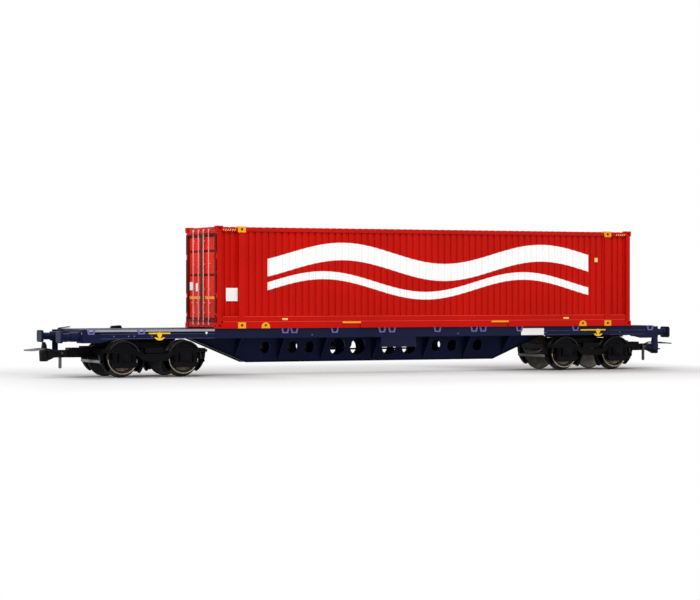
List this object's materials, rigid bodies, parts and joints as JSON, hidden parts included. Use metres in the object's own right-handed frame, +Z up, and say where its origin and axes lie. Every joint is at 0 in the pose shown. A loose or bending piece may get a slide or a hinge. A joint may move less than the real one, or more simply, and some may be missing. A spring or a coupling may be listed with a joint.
{
  "type": "model container wagon",
  "caption": "Scale model of a bogie flat wagon with fish-belly beams carrying a corrugated box container with end doors; its bogies swivel and its wheels turn.",
  "frame": {"origin": "middle of the wagon's length and width, at the height of the wheel flanges' lowest points", "axes": "+X along the wagon towards the container's front end, +Y away from the viewed side, +Z up"},
  "size_m": [0.242, 0.0284, 0.0489],
  "materials": {
    "frame_blue": "satin",
    "bracket_outline": "satin",
    "fitting_black": "matt",
    "lever_yellow": "satin",
    "container_red": "satin",
    "rod_grey": "satin",
    "casting_yellow": "satin",
    "bogie_black": "matt",
    "coupler_black": "matt",
    "loop_metal": "satin",
    "wheel_metal": "blackened with a bright tread",
    "axle_metal": "plain"
  },
  "bodies": {
    "wagon": {"main_beam_near": "frame_blue", "main_beam_far": "frame_blue", "side_rail_near": "frame_blue", "side_rail_far": "frame_blue", "gusset_ribs_near": "frame_blue", "gusset_ribs_far": "frame_blue", "cross_bearers": "frame_blue", "headstock_left": "frame_blue", "headstock_right": "frame_blue", "buffers_left": "frame_blue", "buffers_right": "frame_blue", "bolster_left": "frame_blue", "bolster_right": "frame_blue", "shunter_step_near": "frame_blue", "shunter_step_far": "frame_blue", "lock_brackets_near": "bracket_outline", "lock_brackets_far": "bracket_outline", "folded_spigots": "fitting_black", "brake_cabinet": "fitting_black", "air_reservoir": "fitting_black", "brake_rod": "fitting_black", "levers_near": "lever_yellow", "levers_far": "lever_yellow", "container_side_near": "container_red", "container_side_far": "container_red", "container_roof": "container_red", "container_floor": "container_red", "container_front_end": "container_red", "container_door_frame": "container_red", "container_door_near": "container_red", "container_door_far": "container_red", "corner_castings": "container_red", "door_lock_rods": "rod_grey", "lift_castings": "casting_yellow", "lift_lugs": "casting_yellow"},
    "bogie_left": {"bogie_sides_left": "bogie_black", "bogie_frame_left": "bogie_black", "bogie_brakes_left": "bogie_black", "coupler_head_left": "coupler_black"},
    "loop_left": {"coupler_loop_left": "loop_metal"},
    "bogie_right": {"bogie_sides_right": "bogie_black", "bogie_frame_right": "bogie_black", "bogie_brakes_right": "bogie_black", "coupler_head_right": "coupler_black"},
    "loop_right": {"coupler_loop_right": "loop_metal"},
    "wheelset_1": {"wheels_1": "wheel_metal", "axle_1": "axle_metal"},
    "wheelset_2": {"wheels_2": "wheel_metal", "axle_2": "axle_metal"},
    "wheelset_3": {"wheels_3": "wheel_metal", "axle_3": "axle_metal"},
    "wheelset_4": {"wheels_4": "wheel_metal", "axle_4": "axle_metal"}
  },
  "joints": [
    {"name": "bogie_swivel_left", "type": "hinge", "parent": "wagon", "child": "bogie_left", "pos_m": [-0.0816, 0, 0.0105], "axis": [0, 0, 1], "range_deg": [-8, 8]},
    {"name": "loop_lift_left", "type": "hinge", "parent": "bogie_left", "child": "loop_left", "pos_m": [-0.1096, 0, 0.0079], "axis": [0, 1, 0], "range_deg": [0, 18]},
    {"name": "bogie_swivel_right", "type": "hinge", "parent": "wagon", "child": "bogie_right", "pos_m": [0.0816, 0, 0.0105], "axis": [0, 0, 1], "range_deg": [-8, 8]},
    {"name": "loop_lift_right", "type": "hinge", "parent": "bogie_right", "child": "loop_right", "pos_m": [0.1096, 0, 0.0079], "axis": [0, -1, 0], "range_deg": [0, 18]},
    {"name": "wheel_spin_1", "type": "hinge", "parent": "bogie_left", "child": "wheelset_1", "pos_m": [-0.09194, 0, 0.0061], "axis": [0, 1, 0], "continuous": true},
    {"name": "wheel_spin_2", "type": "hinge", "parent": "bogie_left", "child": "wheelset_2", "pos_m": [-0.07125, 0, 0.0061], "axis": [0, 1, 0], "continuous": true},
    {"name": "wheel_spin_3", "type": "hinge", "parent": "bogie_right", "child": "wheelset_3", "pos_m": [0.07125, 0, 0.0061], "axis": [0, 1, 0], "continuous": true},
    {"name": "wheel_spin_4", "type": "hinge", "parent": "bogie_right", "child": "wheelset_4", "pos_m": [0.09194, 0, 0.0061], "axis": [0, 1, 0], "continuous": true}
  ]
}
